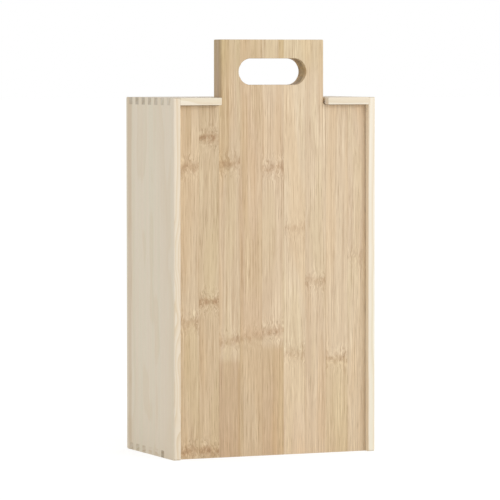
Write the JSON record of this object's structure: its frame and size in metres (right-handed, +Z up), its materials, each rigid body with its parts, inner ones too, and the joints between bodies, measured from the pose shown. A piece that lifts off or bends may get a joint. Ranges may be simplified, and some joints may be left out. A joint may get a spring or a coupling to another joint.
{
  "type": "wooden wine box",
  "caption": "Tall pine box for wine bottles side by side, finger-jointed, closed in front by a bamboo serving board with a slotted carrying handle.",
  "frame": {"origin": "middle of the rectangle that the box stands on, at the level of the surface it stands on", "axes": "+Z up along the height of the box, +X to the right seen from the front, +Y from the front (the serving board) to the back"},
  "size_m": [0.21, 0.12, 0.397],
  "materials": {
    "pine": "pale planed pine, unvarnished, matt",
    "plywood": "thin pale plywood, sanded, matt",
    "bamboo_face": "sanded bamboo with a thin oil finish, satin",
    "bamboo_core": "sanded bamboo edge, satin"
  },
  "bodies": {
    "board": {"front_strip_1": "bamboo_face", "front_strip_2": "bamboo_face", "front_strip_3": "bamboo_face", "front_strip_4_low": "bamboo_face", "front_strip_4_high": "bamboo_face", "front_strip_5_low": "bamboo_face", "front_strip_5_high": "bamboo_face", "front_strip_6_low": "bamboo_face", "front_strip_6_high": "bamboo_face", "front_strip_7": "bamboo_face", "front_strip_8": "bamboo_face", "front_strip_9": "bamboo_face", "core_strip_1": "bamboo_core", "core_strip_2": "bamboo_core", "core_strip_3": "bamboo_core", "core_strip_4_low": "bamboo_core", "core_strip_4_high": "bamboo_core", "core_strip_5_low": "bamboo_core", "core_strip_5_high": "bamboo_core", "core_strip_6_low": "bamboo_core", "core_strip_6_high": "bamboo_core", "core_strip_7": "bamboo_core", "core_strip_8": "bamboo_core", "core_strip_9": "bamboo_core", "back_strip_1": "bamboo_face", "back_strip_2": "bamboo_face", "back_strip_3": "bamboo_face", "back_strip_4_low": "bamboo_face", "back_strip_4_high": "bamboo_face", "back_strip_5_low": "bamboo_face", "back_strip_5_high": "bamboo_face", "back_strip_6_low": "bamboo_face", "back_strip_6_high": "bamboo_face", "back_strip_7": "bamboo_face", "back_strip_8": "bamboo_face", "back_strip_9": "bamboo_face"},
    "box": {"left_side": "pine", "right_side": "pine", "top_panel": "pine", "bottom_panel": "pine", "back_panel": "plywood", "divider": "plywood"}
  },
  "joints": [
    {"name": "box_slide", "type": "slide", "parent": "board", "child": "box", "axis": [0, 0, 1], "range_m": [0, 0.4]}
  ]
}
